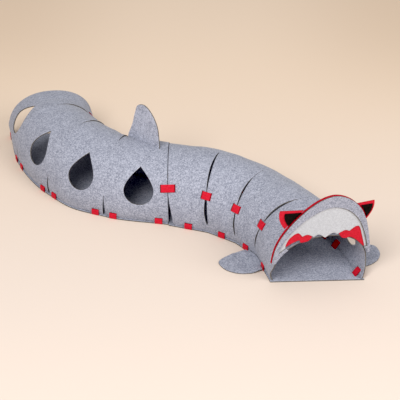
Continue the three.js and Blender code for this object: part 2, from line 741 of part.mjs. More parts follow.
const layer = (shape, depth, offset) => extrude(shape, depth, EYE_STEPS).translate(0, 0, offset);

// A cutter through every layer of the face
const through = (shape) => layer(shape, 2 * LAYER.plate, -PLATE);
const plateWindow = through(new THREE.Shape(windowArc(0)));
const backingWindow = through(new THREE.Shape(windowArc(-BACKING_BAND)));
const plateRoom = through(crescent(PATCH_GAP, 0));

let backing = toSolid(layer(crescent(BACKING_EDGE, BACKING_ASIDE), TRIM, LAYER.backing));
for (const side of [-1, 1]) {
  backing = backing.add(toSolid(layer(eyeShape(EYE, side, EYE_ASIDE), TRIM, LAYER.backing)));
}
addPiece(face, 'face_backing', toGeometry(cut(backing, [backingWindow])), RED);
const plate = toSolid(layer(crescent(0, 0), PLATE, LAYER.plate));
addPiece(face, 'face_plate', toGeometry(cut(plate, [plateWindow])), GREY);
addPiece(face, 'teeth_panel', layer(teethShape(), TRIM, LAYER.white), WHITE);
for (const { name, side } of [{ name: 'left', side: -1 }, { name: 'right', side: 1 }]) {
  const patch = toSolid(layer(eyeShape(PATCH, side, PATCH_ASIDE), TRIM, LAYER.patch));
  addPiece(face, `eye_${name}`, toGeometry(cut(patch, [plateRoom])), BLACK);
  addPiece(face, `gum_${name}`, layer(gumShape(side), TRIM, LAYER.gum), RED);
}

export default tunnel;
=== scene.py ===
import math

import bpy
import numpy as np
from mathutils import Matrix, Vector
from mathutils.geometry import delaunay_2d_cdt
from mathutils.kdtree import KDTree


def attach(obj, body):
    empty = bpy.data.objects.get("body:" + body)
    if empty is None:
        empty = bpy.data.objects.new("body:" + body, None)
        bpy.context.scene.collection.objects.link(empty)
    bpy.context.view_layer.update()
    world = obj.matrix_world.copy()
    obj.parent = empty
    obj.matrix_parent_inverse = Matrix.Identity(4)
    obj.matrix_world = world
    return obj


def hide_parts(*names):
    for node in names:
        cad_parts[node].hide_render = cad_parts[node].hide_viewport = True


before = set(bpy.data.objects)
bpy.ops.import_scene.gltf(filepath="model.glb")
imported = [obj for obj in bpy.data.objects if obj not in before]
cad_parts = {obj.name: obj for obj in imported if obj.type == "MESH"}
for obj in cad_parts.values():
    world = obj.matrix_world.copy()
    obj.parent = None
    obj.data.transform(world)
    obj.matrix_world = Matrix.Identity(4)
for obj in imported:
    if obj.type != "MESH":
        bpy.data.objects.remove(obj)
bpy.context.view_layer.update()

# A cat tunnel of stiff felt shaped like a shark. Every sheet is cut flat, bent into place and thickened.
# Sizes are in millimetres, turned to metres as each mesh is made.
MM = 0.001

# Felt thicknesses and clearances
WALL = 4.0
FLOOR = 4.0
FIN = 4.0
PLATE = 3.0
TRIM = 2.0
STRAP = 2.0
CLEAR = 0.6

# Arch and floor
FOOT_TUCK = 9
FLOOR_MARGIN = 5
FLOOR_LIP = 3
WALL_FOOT = 4.3
LEAN_HEIGHT = 200
TWIST_HEIGHT = 80
STRAIGHT_FROM = 0.35
STRAIGHT_TO = 0.8
STRAIGHT_SHARE = 0.8
BOW_REACH = 0.3
FOOT_SEARCH = 0.15
FOOT_SEARCH_STEPS = 151
RIM_SEARCH_STEPS = 501
UNBEND_ROUNDS = 9
DROP_ROUNDS = 6
ALONG_SPARE = 0.2
ROUND_SPARE = 0.05
PANEL_FLAT = 175
ARCH_FLAT = 500

# Sections of each module from the seam outwards, measured from the middle of the seam
COLUMNS = ("x", "y", "foot", "top", "lean", "sway", "height", "half", "square", "bow")
REAR_SECTIONS = np.array([
    (-1, 0, 179, 179, 4, 0, 203, 150, 2, 0),
    (-172, 44, 163, 163, -3, 0, 206, 150, 2, 10),
    (-310.6, 155, 139, 139, -14, 0, 214, 153, 2, 0),
    (-398, 303, 115, 115, -6, 0, 207, 148, 2, 0),
    (-443, 464, 88, 97, -32, -20, 192, 147, 2.2, 0),
], float)
FRONT_SECTIONS = np.array([
    (1, -5, 359, 359, -4, 0, 203, 150, 2, 0),
    (165, -55, 343, 343, -16, 0, 202, 149, 2, 0),
    (292.8, -141.6, 324, 324, -17, 0, 185, 145, 2, 0),
    (395.7, -288.8, 290, 290, 16, 0, 194, 137, 2, 0),
    (453, -463, 272, 283, 32, 7, 180, 147, 2.2, 0),
], float)
PANELS = len(REAR_SECTIONS) - 1
SLITS = range(1, PANELS)
SEAM_PLACE = np.array([-36.19, 35.85, 0])

# Unevenness of the felt: waves along and round the arch, and the lifted edge at each slit
WAVES = (
    # along, round, phase, height
    (0.9, 1.3, 0.4, 0.7),
    (1.7, -0.8, 2.1, 0.5),
    (2.9, 2.2, 4.4, 0.3),
)
STILL_FOOT = (0.02, 0.12)
STILL_END = 0.3
SLIT_LIFT = {"rear": 2.5, "front": 3}
SLIT_LOOSE = (0.52, 0.62)
SLIT_FAST = (0.86, 0.95)
SLIT_LIFT_REACH = 0.13
SLIT_HELD_REACH = 0.05

# Peep holes
REAR_HOLES = (
    # along, round
    (0.453, 0.195),
    (0.409, 0.211),
    (0.358, 0.217),
    (0.37, 0.245),
)
FRONT_HOLES = (
    (0.45, 0.182),
    (0.44, 0.18),
    (0.43, 0.178),
    (0.42, 0.176),
)
HOLE_RADIUS = 49
HOLE_TIP = 90
HOLE_POINT = (10, 20)
HOLE_SHOULDER = 25
HOLE_STEPS = (16, 25)

# Slits, foot notches and the trimmed corner at the seam
SLIT_TOP = {"rear": 0.5, "front": 0.43}
SLIT_LOW = 0.955
SLIT_WIDTHS = {
    # widest above and below the strap, and where it starts to gape, for each slit from the seam
    "rear": ((3, 3, 0.5), (3, 3, 0.5), (1.5, 1.5, 0.5)),
    "front": ((5.5, 9, 0.43), (4.5, 3.5, 0.55), (5.5, 2, 0.5)),
}
SLIT_HELD = 0.8
SLIT_STEPS = 62
NOTCH_TOP = 0.14
NOTCH_WIDTH = {"rear": 11, "front": 4}
NOTCH_RUN = (-0.2, 0.99)
NOTCH_STEPS = 12
CORNER_TOP = 0.81
CORNER_WIDTH = 15
CORNER_RUN = (0.02, 1.2)
CORNER_STEPS = 14

# Straps
STRAP_WIDTH = 25
STRAP_ROUND = 0.228
SLIT_STRAP_SPAN = 27
SLIT_STRAP_CLEAR = 0.9
SEAM_STRAP_SPAN = 41
SEAM_STRAP_CLEAR = 3.2
SEAM_STRAP_LEVEL = 0.008
STRAP_FLAP = 10
STRAP_CAMBER = 0.8
STRAP_BEND = 2.4
STRAP_ROWS = 9
STRAP_CREST = (0.1, 0.9)
SLOT_EXTRA = 2.4
FOOT_SLOT_HEIGHT = 19
FOOT_SLOT_IN = 9
FOOT_STRAP_INSET = 32
UNDERSIDE = 0.2
POCKET = 2.5
LOOP_CLEAR = 0.9
ARCH_RADIUS = 150

# Dorsal fin
DORSAL_FRONT = (-33, -4)
DORSAL_HEADING = 137
DORSAL_ROOT = {"front": 190, "rear": 178, "length": 148}
DORSAL_EDGE = ((1, 225), (8, 275), (32, 313), (66, 335), (98, 326), (110, 296), (122, 252), (140, 212))
DORSAL_BOW = 3
DORSAL_BOW_RUN = (220, 340)
DORSAL_OVER = 200
DORSAL_SLOT_STEPS = 30
DORSAL_PLACE = (0.5, 0.55)

# Pectoral fins
PECTORAL_SETBACK = 62
PECTORAL_ROOT = 138
PECTORAL_EDGE = ((1, 44), (16, 82), (44, 107), (72, 115), (97, 113), (111, 94), (124, 54))
PECTORAL_CLEAR = 2.1
PECTORAL_LIFT = 4.8
PECTORAL_STEP = 8
PECTORAL_DOWN = 50
PECTORAL_THICK = 3.0
PECTORAL_ROOT_STEPS = 12

# Face, measured from the middle of the mouth on the plane of its rim
FACE_LEAN = 21
FACE_LEAN_FROM = 150
FACE_LEAN_TO = 340
FACE_CENTRE = 96
FACE_SQUARE = 1.8
FACE_STEPS = 72
FACE_OUTER = (152, 238)
BACKING_EDGE = 0
BACKING_ASIDE = -2
RIM_COVER = -3
LAYER = {"backing": 0.5, "patch": 2.8, "gum": 2.8, "white": 5.1, "plate": 7.4}
WHITE_OUTER = (140, 196)
WHITE_TUCK = 5
BACKING_BAND = 14
WINDOW_ASIDE = 1.5
WINDOW_ENDS = (0.17, math.pi - 0.24)
WINDOW_FOOT = ((-112, 155), (-98, 136))
# Width of the band of painted shadow on the face plate, along the right of the white panel
PAINTED_SHADOW_WIDTH = 3
TEETH = (
    # tip across, tip up, peak across, peak up, from the middle outwards
    (0, 176, 21, 191),
    (36, 184, 57, 196),
    (72, 191, 90, 207),
)
TEETH_ASIDE = 5
WHITE_LEG = {
    # each end of the white panel, beyond its outermost tooth
    -1: ((110, 191), (119, 166), (120, 148), (138, 127)),
    1: ((104, 198), (120, 155), (132, 110)),
}
GUM = {
    # lower edge from the outer tip, then the upper edge under the white panel
    -1: ((121, 152), (111, 160), (96, 169), (78, 176), (74, 166), (60, 166), (48, 170), (40, 184),
         (43, 192), (57, 202), (72, 198), (88, 211), (106, 203), (121, 175)),
    1: ((129, 119), (116, 133), (101, 150), (81, 164), (68, 162), (54, 166), (42, 184),
        (43, 192), (57, 202), (72, 198), (90, 214), (104, 206), (121, 163)),
}
EYE = ((72, 289), (143, 296), (150, 262), (124, 225))
EYE_ASIDE = 3.5
PATCH = ((70, 281), (133, 285), (137, 262), (119, 237))
PATCH_ASIDE = 8.5
PATCH_GAP = 3

# Fineness of the meshes and roundness of cut edges
WALL_STEP = 6.0
TRIM_STEP = 4.0
FILLER_ROOM = 0.62
CUT_TOLERANCE = 1e-5
CURVE_STEPS = 8
GUM_STEPS = 4
LID_STEPS = 14
ALONG_STEPS = 41
ROUND_STEPS = 91
EDGE_STEPS = 65
ARC_STEPS = 81
SIDE_ROUND = 0.15
EDGE_ROUND = 0.16
MERGE_FLAT = 0.2
MERGE_SOLID = 0.01
SHARE_OF_RUN = 1 / 2.2
SMOOTH_ANGLE = math.radians(40)
EDGE_ANGLE = math.radians(50)

# Grain of the felt
GRAIN = (
    # scale, detail, roughness and distortion of clouds, tufts, fibres and hairs
    (38.0, 3.0, 0.5, 0.0),
    (210.0, 4.0, 0.72, 0.6),
    (760.0, 3.0, 0.65, 1.4),
    (430.0, 2.0, 0.6, 2.6),
)
SHADE_SHARES = (0.62, 0.3, 0.08)
SHADE_RANGE = (0.36, 0.64)
HAIR_RANGE = (0.6, 0.7)
NAP_SHARES = (0.45, 0.4, 0.15)
NAP_HEIGHT = 0.9
NAP_STRENGTH = 0.8
TUFT_RANGE = (0.3, 0.7)
FELT_ROUGHNESS = (0.86, 0.98)
FELT_SPECULAR = 0.2
SHEEN_ROUGHNESS = 0.5

# Shades of the felts and of their singed cut edges; the grey edge shade also paints a band of shadow on the
# face plate, and the pale grey paints light onto the dorsal fin
TONES = {
    # middle, dark fibres, light fibres, mottle, sheen
    "grey": ((0.268, 0.288, 0.362), (0.095, 0.104, 0.142), (0.478, 0.497, 0.588), 0.75, 0.12),
    "grey_edge": ((0.12, 0.11, 0.1), (0.06, 0.055, 0.05), (0.2, 0.19, 0.175), 0.6, 0.02),
    # grey painted paler for the dorsal fin, painting in the light that the fin gets too little of
    "grey_pale": ((0.32, 0.344, 0.432), (0.114, 0.125, 0.17), (0.57, 0.593, 0.702), 0.75, 0.12),
    "red": ((0.5, 0.014, 0.028), (0.36, 0.009, 0.018), (0.59, 0.026, 0.05), 0.7, 0.05),
    "red_edge": ((0.24, 0.004, 0.01), (0.16, 0.002, 0.006), (0.32, 0.01, 0.02), 0.6, 0.02),
    "white": ((0.452, 0.472, 0.515), (0.35, 0.362, 0.4), (0.54, 0.565, 0.6), 0.7, 0.08),
    "white_edge": ((0.34, 0.34, 0.35), (0.25, 0.25, 0.26), (0.42, 0.42, 0.43), 0.6, 0.04),
    "black": ((0.008, 0.007, 0.007), (0.004, 0.004, 0.004), (0.016, 0.015, 0.015), 0.8, 0.01),
    "black_edge": ((0.007, 0.006, 0.006), (0.004, 0.004, 0.004), (0.012, 0.011, 0.011), 0.6, 0.01),
}

# Camera, light and ground
LOOK_AT = Vector((0.06181, 0.04585, 0))
CAMERA_DISTANCE = 4.618
CAMERA_ELEVATION = math.radians(31.25)
CAMERA_LENS = 125.0
CAMERA_SENSOR = 36.0
CAMERA_REACH = 60
BLACK_POINT = 0.018
LIGHT_TONE = (1.0, 0.985, 0.965)
SKY_STRENGTH = 0.55
LAMPS = (
    # name, place, target, size, power
    ("key", (-1.5, -4.1, 4.2), (0.0, 0.0, 0.1), 2.8, 285),
    ("fill", (3.2, -3.2, 3.0), (0.1, 0.0, 0.1), 3.0, 140),
)
GROUND_SIZE = 24
# The ground's colour paints light and shade: paler near the camera, warmer towards the back, and painted
# shade in the far corners
GROUND_NEAR = (0.665, 0.57, 0.505, 1)
GROUND_FAR = (0.768, 0.621, 0.493, 1)
GROUND_CORNER_SHADE = (0.69, 0.545, 0.42, 1)
GROUND_RUN = (-0.6, 1.2)
CORNER_BACK = (0.3, 1.5)
CORNER_ASIDE = (0.15, 0.9)
GROUND_ROUGHNESS = 0.85
GROUND_SPECULAR = 0.15

UP = np.array([0.0, 0.0, 1.0])


# Small helpers

def smooth(value, low, high):
    part = np.clip((np.asarray(value, float) - low) / (high - low), 0, 1)
    return part * part * (3 - 2 * part)


def signed_power(value, power):
    return np.sign(value) * np.abs(value) ** power


def heading(degrees):
    return np.array([math.cos(math.radians(degrees)), math.sin(math.radians(degrees)), 0.0])


def unit(vector):
    return vector / np.linalg.norm(vector)


def spline(knots, steps):
    """A smooth line through the knots."""
    knots = np.asarray(knots, float)
    ends = np.concatenate([knots[:1], knots, knots[-1:]])
    parts = []
    for before, start, end, after in zip(ends, ends[1:], ends[2:], ends[3:]):
        t = np.arange(steps)[:, None] / steps
        parts.append(between(before, start, end, after, t))
    return np.concatenate([*parts, knots[-1:]])


def between(before, start, end, after, t):
    bend = 2 * before - 5 * start + 4 * end - after
    twist = 3 * start - before - 3 * end + after
    return 0.5 * (2 * start + (end - before) * t + bend * t ** 2 + twist * t ** 3)


def bezier(start, pull, second_pull, end, steps):
    t = np.arange(steps)[:, None] / steps
    start, pull, second_pull, end = (np.asarray(p, float) for p in (start, pull, second_pull, end))
    return ((1 - t) ** 3 * start + 3 * t * (1 - t) ** 2 * pull
            + 3 * t ** 2 * (1 - t) * second_pull + t ** 3 * end)


def rounded(path, radius, closed, steps=5):
    """A path of straight runs with its corners eased."""
    path = np.asarray(path, float)
    parts = []
    for k, corner in enumerate(path):
        if not closed and k in (0, len(path) - 1):
            parts.append(corner[None])
            continue
        back, ahead = path[k - 1] - corner, path[(k + 1) % len(path)] - corner
        reach = min(radius, np.linalg.norm(back) * SHARE_OF_RUN, np.linalg.norm(ahead) * SHARE_OF_RUN)
        start, end = corner + unit(back) * reach, corner + unit(ahead) * reach
        t = np.linspace(0, 1, steps)[:, None]
        parts.append((1 - t) ** 2 * start + 2 * t * (1 - t) * corner + t ** 2 * end)
    return np.concatenate(parts)


# Cutting flat felt

def split(loop, step):
    """The loop with every side cut into pieces no longer than the step."""
    parts = []
    for start, end in zip(loop, np.roll(loop, -1, axis=0)):
        count = max(1, math.ceil(np.linalg.norm(end - start) / step))
        parts.append(start + (end - start) * (np.arange(count) / count)[:, None])
    return np.concatenate(parts)


def inside(points, loop):
    hit = np.zeros(len(points), bool)
    x, y = points.T
    for (x0, y0), (x1, y1) in zip(loop, np.roll(loop, -1, axis=0)):
        if y0 != y1:
            hit ^= ((y0 > y) != (y1 > y)) & (x < x0 + (y - y0) / (y1 - y0) * (x1 - x0))
    return hit


def cut_flat(outline, cutters, step, marks=()):
    """Triangles over a flat outline less its cut-outs, with edges along the marks."""
    outline = split(np.asarray(outline, float), step)
    cutters = [split(np.asarray(loop, float), step) for loop in cutters]
    marks = [split(np.asarray(loop, float), step) for loop in marks]
    loops = [outline, *cutters, *marks]
    border = np.concatenate(loops)
    edges = []
    for loop in loops:
        first = len(edges)
        edges += [(first + k, first + (k + 1) % len(loop)) for k in range(len(loop))]
    tree = KDTree(len(border))
    for k, point in enumerate(border):
        tree.insert((*point, 0), k)
    tree.balance()
    low, high = outline.min(axis=0), outline.max(axis=0)
    rows = np.arange(low[1] + step / 2, high[1], step * math.sqrt(0.75))
    filler = [
        (x, y)
        for k, y in enumerate(rows)
        for x in np.arange(low[0] + step / 2 * (k % 2), high[0], step)
        if tree.find((x, y, 0))[2] > FILLER_ROOM * step
    ]
    filler = np.array(filler or [border.mean(axis=0)])
    points = np.concatenate([border, filler[inside(filler, outline)]])
    made = delaunay_2d_cdt([Vector(point) for point in points], edges, [], 0, CUT_TOLERANCE)
    points = np.array([tuple(point) for point in made[0]])
    faces = np.array(made[2])
    middles = points[faces].mean(axis=1)
    keep = inside(middles, outline)
    for loop in cutters:
        near = np.all((middles >= loop.min(axis=0)) & (middles <= loop.max(axis=0)), axis=1)
        keep[near] &= ~inside(middles[near], loop)
    used, faces = np.unique(faces[keep], return_inverse=True)
    return points[used], faces.reshape(-1, 3)


def area_of(points, faces):
    a, b, c = (points[faces[:, k]] for k in range(3))
    if points.shape[1] == 2:
        return np.abs((b - a)[:, 0] * (c - a)[:, 1] - (b - a)[:, 1] * (c - a)[:, 0]).sum() / 2
    return np.linalg.norm(np.cross(b - a, c - a), axis=1).sum() / 2


# Making a felt piece and putting it in place of its part

def select_only(piece):
    bpy.ops.object.select_all(action="DESELECT")
    piece.select_set(True)
    bpy.context.view_layer.objects.active = piece


def finish_with(piece, kind, **settings):
    modifier = piece.modifiers.new(kind.title(), kind)
    for key, value in settings.items():
        setattr(modifier, key, value)
    select_only(piece)
    bpy.ops.object.modifier_apply(modifier=modifier.name)


def merge_close(piece, distance):
    select_only(piece)
    bpy.ops.object.mode_set(mode="EDIT")
    bpy.ops.mesh.select_all(action="SELECT")
    bpy.ops.mesh.remove_doubles(threshold=distance * MM)
    bpy.ops.mesh.dissolve_degenerate(threshold=distance * MM)
    bpy.ops.object.mode_set(mode="OBJECT")


def plain(colour):
    """The felt's plain colour, without its shade."""
    return colour.split("_")[0]


def thicken(name, points, faces, thickness, offset, colour, dark=None):
    """A closed sheet of felt from one bent layer, kept as the front by offset -1 or as the middle by 0."""
    mesh = bpy.data.meshes.new(name)
    mesh.from_pydata((points * MM).tolist(), [], np.asarray(faces).tolist())
    piece = bpy.data.objects.new(name, mesh)
    bpy.context.collection.objects.link(piece)
    mesh.materials.append(FELT[colour])
    mesh.materials.append(FELT[f"{plain(colour)}_edge"])
    # Faces marked dark take the edge felt, which the face plate uses for its band of painted shadow
    if dark is not None:
        mesh.polygons.foreach_set("material_index", dark.astype(np.int32))
    merge_close(piece, MERGE_FLAT)
    finish_with(piece, "SOLIDIFY", thickness=thickness * MM, offset=offset, material_offset_rim=1)
    finish_with(
        piece, "BEVEL", width=thickness * EDGE_ROUND * MM, segments=2, limit_method="ANGLE",
        angle_limit=EDGE_ANGLE, use_clamp_overlap=False,
    )
    merge_close(piece, MERGE_SOLID)
    select_only(piece)
    bpy.ops.object.shade_smooth_by_angle(angle=SMOOTH_ANGLE)
    return piece


def stand_in(piece, node):
    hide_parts(node)
    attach(piece, "root")
    return piece


def declare(piece, node, area, with_pieces=()):
    stand_in(piece, node)


def flat_piece(node, outline, cutters, place, thickness, offset, colour):
    """A sheet cut to a flat outline and put in place by a function of its flat points."""
    points, faces = cut_flat(outline, cutters, TRIM_STEP)
    piece = thicken(f"felt_{node}", place(points), faces, thickness, offset, colour)
    outline = np.asarray(outline, float)
    declare(piece, node, area_of(points, faces))


# Finishes

class Value:
    """A shader socket that takes part in sums and products."""

    def __init__(self, finish, socket):
        self.finish = finish
        self.socket = socket

    def joined(self, operation, *terms):
        return self.finish.node("ShaderNodeMath", {"operation": operation}, dict(enumerate(terms)))

    def __abs__(self):
        return self.joined("ABSOLUTE", self)

    def __add__(self, other):
        return self.joined("ADD", self, other)

    def __sub__(self, other):
        return self.joined("SUBTRACT", self, other)

    def __mul__(self, other):
        return self.joined("MULTIPLY", self, other)


class Finish:
    """A material under construction."""

    MIX_FIRST = 6
    MIX_SECOND = 7
    MIX_RESULT = 2

    def __init__(self, name):
        self.material = bpy.data.materials.new(name)
        self.material.use_nodes = True
        self.tree = self.material.node_tree
        self.shader = self.tree.nodes["Principled BSDF"]

    def node(self, kind, settings=None, values=None, output=0):
        made = self.tree.nodes.new(kind)
        for key, value in (settings or {}).items():
            setattr(made, key, value)
        for key, value in (values or {}).items():
            self.put(made.inputs[key], value)
        return Value(self, made.outputs[output])

    def put(self, socket, value):
        if isinstance(value, Value):
            self.tree.links.new(value.socket, socket)
        else:
            socket.default_value = value

    def noise(self, place, scale, detail, roughness, distortion):
        return self.node("ShaderNodeTexNoise", {"noise_dimensions": "3D"}, {
            "Vector": place, "Scale": scale, "Detail": detail, "Roughness": roughness,
            "Distortion": distortion,
        })

    def stretch(self, value, low, high, to_low=0.0, to_high=1.0):
        return self.node("ShaderNodeMapRange", {"interpolation_type": "SMOOTHSTEP"}, {
            "Value": value, "From Min": low, "From Max": high, "To Min": to_low, "To Max": to_high,
        })

    def mix(self, factor, first, second):
        return self.node("ShaderNodeMix", {"data_type": "RGBA"}, {
            "Factor": factor, self.MIX_FIRST: first, self.MIX_SECOND: second,
        }, output=self.MIX_RESULT)

    def bump(self, height, distance, strength):
        return self.node("ShaderNodeBump", {}, {
            "Height": height, "Distance": distance, "Strength": strength,
        })

    def surface(self, **values):
        for key, value in values.items():
            self.put(self.shader.inputs[key.replace("_", " ")], value)
        return self.material


def blend(values, shares):
    first, second, third = (value * share for value, share in zip(values, shares))
    return first + second + third


def felt(name, middle, dark, light, mottle, sheen):
    """Needled felt: matted fibres of several shades, with a soft uneven nap."""
    finish = Finish(name)
    place = finish.node("ShaderNodeTexCoord", output="Object")
    clouds, tufts, fibres, hairs = (finish.noise(place, *layer) for layer in GRAIN)
    shade = finish.stretch(blend((tufts, fibres, clouds), SHADE_SHARES), *SHADE_RANGE)
    ground = finish.mix(shade, (*dark, 1), (*light, 1))
    body = finish.mix(mottle, (*middle, 1), ground)
    flecked = finish.mix(finish.stretch(hairs, *HAIR_RANGE) * mottle, body, (*dark, 1))
    nap = blend((fibres, tufts, hairs), NAP_SHARES)
    return finish.surface(
        Base_Color=flecked,
        Roughness=finish.stretch(tufts, *TUFT_RANGE, *FELT_ROUGHNESS),
        Normal=finish.bump(nap, NAP_HEIGHT * MM, NAP_STRENGTH),
        Specular_IOR_Level=FELT_SPECULAR,
        Sheen_Weight=sheen,
        Sheen_Roughness=SHEEN_ROUGHNESS,
    )


FELT = {name: felt(f"felt_{name}", *tones) for name, tones in TONES.items()}


# The arched wall of a module

class Module:
    """One half of the tunnel.

    Along counts panels from the seam, and round runs from the outer foot to the inner.
    Raised is 1 where the panel beyond each slit stands over the other, and -1 where it lies under.
    """

    def __init__(self, name, sections, holes, raised):
        self.name = name
        self.sections = sections
        self.holes = holes
        self.raised = raised

    def arches(self, rounds):
        s = {name: self.sections[:, k:k + 1] for k, name in enumerate(COLUMNS)}
        rise = s["height"] - WALL_FOOT
        power = 2 / s["square"]
        foot_angle = np.arccos((1 - FOOT_TUCK / s["half"]) ** (1 / power))
        drop = np.sin(foot_angle) ** power
        centre = rise * drop / (1 + drop)
        angle = -foot_angle + (np.pi + 2 * foot_angle) * rounds
        side = s["half"] * signed_power(np.cos(angle), power)
        height = centre + (rise - centre) * signed_power(np.sin(angle), power)
        twist = smooth(height, 0, TWIST_HEIGHT)
        left = np.radians(s["foot"] + (s["top"] - s["foot"]) * twist + 90)
        outward = np.radians(s["top"])
        risen = height / LEAN_HEIGHT * twist
        side = side + s["sway"] * risen
        lean = s["lean"] * risen
        x = s["x"] + side * np.cos(left) + lean * np.cos(outward)
        y = s["y"] + side * np.sin(left) + lean * np.sin(outward)
        return np.stack([x, y, WALL_FOOT + height], axis=-1) + SEAM_PLACE

    def smooth_points(self, along, rounds):
        knots = self.arches(rounds)
        knots = np.concatenate([2 * knots[:1] - knots[1:2], knots, 2 * knots[-1:] - knots[-2:-1]])
        panel = np.clip(np.floor(along).astype(int), 0, PANELS - 1)
        part = (along - panel)[:, None]
        order = np.arange(len(along))
        before, start, end, after = (knots[panel + k, order] for k in range(4))
        curve = between(before, start, end, after, part)
        straight = start + (end - start) * part
        share = STRAIGHT_SHARE * smooth(rounds, STRAIGHT_FROM, STRAIGHT_TO)[:, None]
        bow = self.sections[panel, COLUMNS.index("bow")] * np.sin(np.pi * part[:, 0]) ** 2
        bow = bow * (1 - smooth(rounds, 0, BOW_REACH))
        chord = end - start
        outward = np.stack([-chord[:, 1], chord[:, 0], 0 * bow], axis=1)
        outward /= np.linalg.norm(outward, axis=1, keepdims=True)
        return curve + (straight - curve) * share + outward * bow[:, None]

    def directions(self, along, rounds, step=0.01):
        forward = self.smooth_points(along + step, rounds) - self.smooth_points(along - step, rounds)
        over = self.smooth_points(along, rounds + step) - self.smooth_points(along, rounds - step)
        forward, over = forward / (2 * step), over / (2 * step)
        normal = np.cross(over, forward)
        return forward, over, normal / np.linalg.norm(normal, axis=1, keepdims=True)

    def unevenness(self, along, rounds):
        waves = sum(
            height * np.sin(2 * np.pi * (a * along + r * rounds) + phase) for a, r, phase, height in WAVES
        )
        still = smooth(rounds, *STILL_FOOT) * smooth(1 - rounds, *STILL_FOOT)
        still = still * smooth(along, 0, STILL_END) * smooth(PANELS - along, 0, STILL_END)
        slit = np.clip(np.floor(along) if self.raised > 0 else np.ceil(along), 1, PANELS - 1)
        edge = (along - slit) * self.raised
        loose = smooth(rounds, *SLIT_LOOSE) * (1 - smooth(rounds, *SLIT_FAST)) * (edge >= 0)
        held = 1 - np.exp(-((rounds - 1 + STRAP_ROUND) / SLIT_HELD_REACH) ** 2)
        lift = SLIT_LIFT[self.name] * np.exp(-(edge / SLIT_LIFT_REACH) ** 2) * loose * held
        return waves * still + lift

    def points(self, along, rounds):
        along, rounds = (np.atleast_1d(np.asarray(v, float)) for v in (along, rounds))
        normal = self.directions(along, rounds)[2]
        return self.smooth_points(along, rounds) + normal * self.unevenness(along, rounds)[:, None]

    def frame_at(self, along, round_):
        """Point, lengthways, over and outward directions at one place."""
        place = np.array([along], float), np.array([round_], float)
        forward, over, normal = self.directions(*place)
        return self.points(*place)[0], unit(forward[0]), unit(over[0]), normal[0]

    def unbend(self, targets, along, round_):
        """The places on the wall nearest to points in space, as along and round."""
        targets = np.asarray(targets, float)
        a = np.full(len(targets), float(along))
        r = np.full(len(targets), float(round_))
        for _ in range(UNBEND_ROUNDS):
            forward, over, _ = self.directions(a, r)
            miss = targets - self.smooth_points(a, r)
            pairs = ((forward, forward), (forward, over), (over, over))
            ff, fo, oo = ((p * q).sum(axis=1) for p, q in pairs)
            mf, mo = (miss * forward).sum(axis=1), (miss * over).sum(axis=1)
            det = ff * oo - fo * fo
            a = np.clip(a + (mf * oo - mo * fo) / det, -ALONG_SPARE, PANELS + ALONG_SPARE)
            r = np.clip(r + (mo * ff - mf * fo) / det, -ROUND_SPARE, 1 + ROUND_SPARE)
        return np.stack([a, r], axis=1)

    def panel_length(self, panel, round_):
        ends = self.smooth_points(np.array([panel, panel + 1], float), np.full(2, float(round_)))
        return np.linalg.norm(ends[1] - ends[0])


PATTERN = np.array([PANEL_FLAT, ARCH_FLAT], float)
REAR = Module("rear", REAR_SECTIONS, REAR_HOLES, 1)
FRONT = Module("front", FRONT_SECTIONS, FRONT_HOLES, -1)


# Openings in the wall, as loops of along and round

def teardrop():
    across, down = HOLE_POINT
    pulls = (across, HOLE_TIP - down), (HOLE_RADIUS, HOLE_SHOULDER)
    right = bezier((0, HOLE_TIP), *pulls, (HOLE_RADIUS, 0), HOLE_STEPS[0])
    angles = np.linspace(0, -np.pi, HOLE_STEPS[1])
    bowl = HOLE_RADIUS * np.stack([np.cos(angles), np.sin(angles)], axis=1)
    left = right[1:][::-1] * (-1, 1)
    return np.concatenate([right, bowl, left])


def hole_loop(module, along, round_):
    point, _, over, normal = module.frame_at(along, round_)
    across = np.cross(over, normal)
    drop = teardrop()
    targets = point + drop[:, :1] * across + drop[:, 1:] * over
    return module.unbend(targets, along, round_)


def gap_loop(module, along, rounds, widths):
    """A gap along one section line, with its width at each place round the arch."""
    forward = module.directions(np.full(len(rounds), float(along)), rounds)[0]
    half = np.asarray(widths) / 2 / np.linalg.norm(forward, axis=1)
    near = np.stack([along - half, rounds], axis=1)
    far = np.stack([along + half, rounds], axis=1)
    return np.concatenate([near, far[::-1]])


def slit_loop(module, along):
    """A slit that gapes above and below the strap that holds it."""
    top, strap = SLIT_TOP[module.name], 1 - STRAP_ROUND
    above, below, gape = SLIT_WIDTHS[module.name][along - 1]
    rounds = np.linspace(top, SLIT_LOW, SLIT_STEPS)[1:-1]
    upper = above * np.sin(np.pi * np.clip((rounds - gape) / (strap - gape), 0, 1))
    lower = below * np.sqrt(np.sin(np.pi * np.clip((rounds - strap) / (SLIT_LOW - strap), 0, 1)))
    return gap_loop(module, along, rounds, SLIT_HELD + upper + lower)


def notch_loop(module, along):
    part = np.linspace(*NOTCH_RUN, NOTCH_STEPS)
    return gap_loop(module, along, NOTCH_TOP * part, NOTCH_WIDTH[module.name] * (1 - part))


def corner_loop(module):
    part = np.linspace(*CORNER_RUN, CORNER_STEPS)
    rounds = CORNER_TOP + (1 - CORNER_TOP) * part
    return gap_loop(module, 0, rounds, 2 * CORNER_WIDTH * part)


def slot_loop(module, along, round_, point, long, short):
    """A strap's slot, from its middle, half its length and half its width."""
    corners = [point + long + short, point - long + short, point - long - short, point + long - short]
    return module.unbend(corners, along, round_)


# Straps

